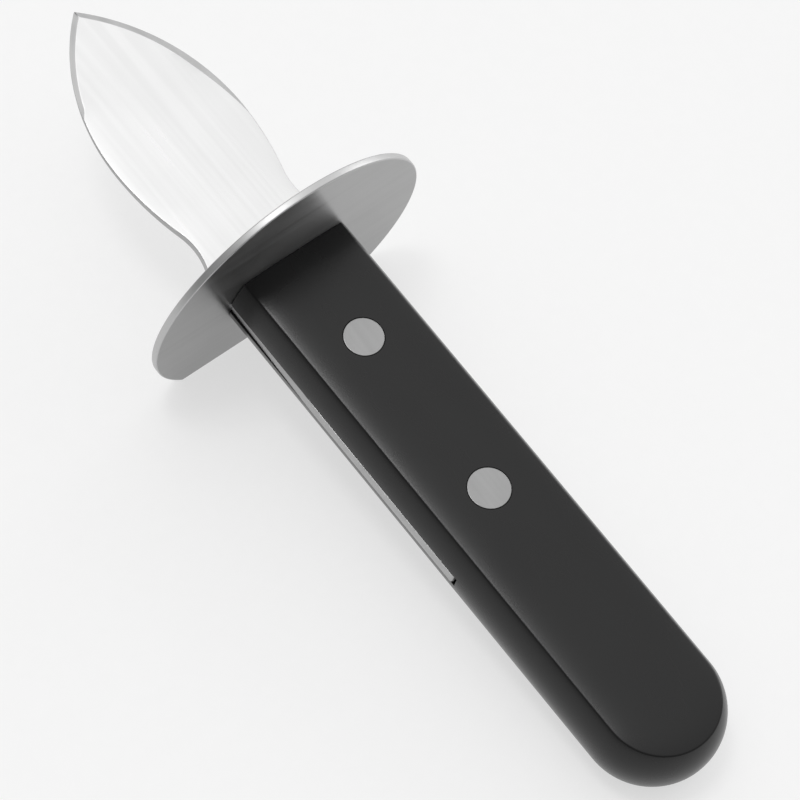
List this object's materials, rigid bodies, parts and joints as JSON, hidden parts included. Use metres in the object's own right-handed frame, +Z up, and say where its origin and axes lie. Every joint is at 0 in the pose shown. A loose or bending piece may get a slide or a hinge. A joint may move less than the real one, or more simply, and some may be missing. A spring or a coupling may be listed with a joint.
{
  "type": "oyster knife",
  "caption": "Oyster knife: short leaf-shaped blade bevelled at its point, round disc guard with a flat edge that stops it rolling, and a slotted handle riveted to a partial tang.",
  "frame": {"origin": "middle of the knife's box in X and Y, on the table it lies on", "axes": "+X along the knife towards the blade's tip, +Y to the left seen from the handle, +Z up from the table; the knife lies on the flat of its guard and its butt"},
  "size_m": [0.1514, 0.05, 0.0422],
  "materials": {
    "blade_steel": "stainless steel, finely brushed along the blade",
    "guard_steel": "stainless sheet, satin polished",
    "handle_plastic": "black moulded plastic, satin",
    "rivet_metal": "rivet heads ground flush with the handle"
  },
  "bodies": {
    "root": {"blade": "blade_steel", "guard": "guard_steel", "handle": "handle_plastic", "front_rivet_pin": "rivet_metal", "front_rivet_tube": "rivet_metal", "rear_rivet_pin": "rivet_metal", "rear_rivet_tube": "rivet_metal"}
  },
  "joints": []
}
